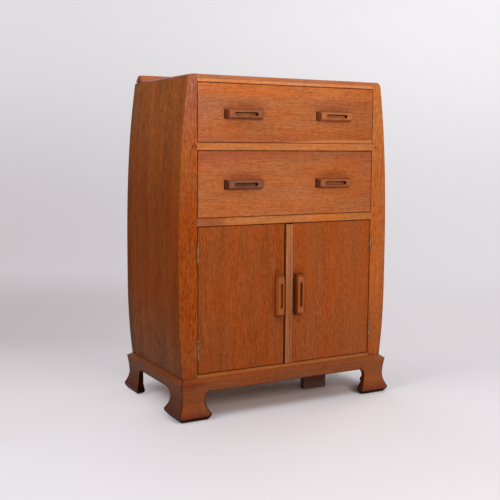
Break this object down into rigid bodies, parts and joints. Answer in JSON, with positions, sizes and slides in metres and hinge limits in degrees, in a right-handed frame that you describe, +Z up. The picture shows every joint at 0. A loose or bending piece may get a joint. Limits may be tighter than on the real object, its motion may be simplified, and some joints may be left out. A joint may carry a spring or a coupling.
{
  "type": "tallboy",
  "caption": "Oak tallboy with bowed sides: full width drawers slide out above a cupboard with hinged doors, on a moulded base with flared bracket feet.",
  "frame": {"origin": "on the floor under the middle of the piece", "axes": "+X to the viewer's right, +Y to the back, +Z up; the drawers and doors face -Y"},
  "size_m": [0.7788, 0.464, 1.064],
  "materials": {
    "stile_oak": "fumed and waxed oak, satin",
    "side_oak": "fumed and waxed oak, satin",
    "top_oak": "fumed and waxed oak, satin",
    "rail_oak": "fumed and waxed oak, satin",
    "light_oak": "paler oak, satin",
    "drawer_oak": "quarter sawn oak, satin",
    "door_oak": "straight grained oak, satin",
    "strip_oak": "pale oak with strong grain lines, satin",
    "handle_oak": "oak worn by hands, satin",
    "base_oak": "darker oak, satin",
    "lining_oak": "bare oak, matt",
    "plywood": "bare plywood, matt",
    "softwood": "bare stained softwood, matt",
    "dark_peg": "end grain oak, satin",
    "brass": "dull aged brass",
    "steel_screw": "dull steel"
  },
  "bodies": {
    "carcase": {"front_stile_left": "stile_oak", "front_stile_right": "stile_oak", "side_panel_left": "side_oak", "side_panel_right": "side_oak", "rear_stile_left": "stile_oak", "rear_stile_right": "stile_oak", "top_board": "top_oak", "gallery_rail": "top_oak", "top_rail": "rail_oak", "drawer_rail": "light_oak", "door_head_rail": "light_oak", "bottom_rail": "light_oak", "bottom_board": "plywood", "back_panel": "plywood", "rear_bottom_rail": "lining_oak", "joint_pegs": "dark_peg", "drawer_runners": "lining_oak", "drawer_guides": "lining_oak", "drawer_kickers": "lining_oak", "drawer_stops": "lining_oak", "dust_board": "plywood", "cupboard_shelf": "lining_oak", "shelf_bearers": "lining_oak", "door_stops": "lining_oak", "base_front": "base_oak", "base_back": "base_oak", "base_left": "base_oak", "base_right": "base_oak", "base_corner_blocks": "softwood", "base_support_block": "softwood", "frame_hinge_leaves": "brass", "frame_hinge_screws": "steel_screw", "hinge_pins": "brass"},
    "upper_drawer": {"upper_drawer_front": "drawer_oak", "upper_drawer_side_left": "lining_oak", "upper_drawer_side_right": "lining_oak", "upper_drawer_back": "lining_oak", "upper_drawer_bottom": "plywood", "upper_drawer_handle_left": "handle_oak", "upper_drawer_handle_right": "handle_oak", "upper_drawer_handle_screws": "steel_screw"},
    "lower_drawer": {"lower_drawer_front": "drawer_oak", "lower_drawer_side_left": "lining_oak", "lower_drawer_side_right": "lining_oak", "lower_drawer_back": "lining_oak", "lower_drawer_bottom": "plywood", "lower_drawer_handle_left": "handle_oak", "lower_drawer_handle_right": "handle_oak", "lower_drawer_handle_screws": "steel_screw"},
    "left_door": {"left_door_panel": "door_oak", "left_door_handle": "handle_oak", "left_door_hinge_leaves": "brass", "left_door_screws": "steel_screw", "left_door_catch": "brass"},
    "right_door": {"right_door_panel": "door_oak", "meeting_strip": "strip_oak", "right_door_handle": "handle_oak", "right_door_hinge_leaves": "brass", "right_door_screws": "steel_screw", "right_door_catch": "brass"}
  },
  "joints": [
    {"name": "upper_drawer_slide", "type": "slide", "parent": "carcase", "child": "upper_drawer", "axis": [0, -1, 0], "range_m": [0, 0.3]},
    {"name": "lower_drawer_slide", "type": "slide", "parent": "carcase", "child": "lower_drawer", "axis": [0, -1, 0], "range_m": [0, 0.3]},
    {"name": "left_door_hinge", "type": "hinge", "parent": "carcase", "child": "left_door", "pos_m": [-0.319, -0.2116, 0.36], "axis": [0, 0, -1], "range_deg": [0, 170]},
    {"name": "right_door_hinge", "type": "hinge", "parent": "carcase", "child": "right_door", "pos_m": [0.319, -0.2116, 0.36], "axis": [0, 0, 1], "range_deg": [0, 170]}
  ]
}
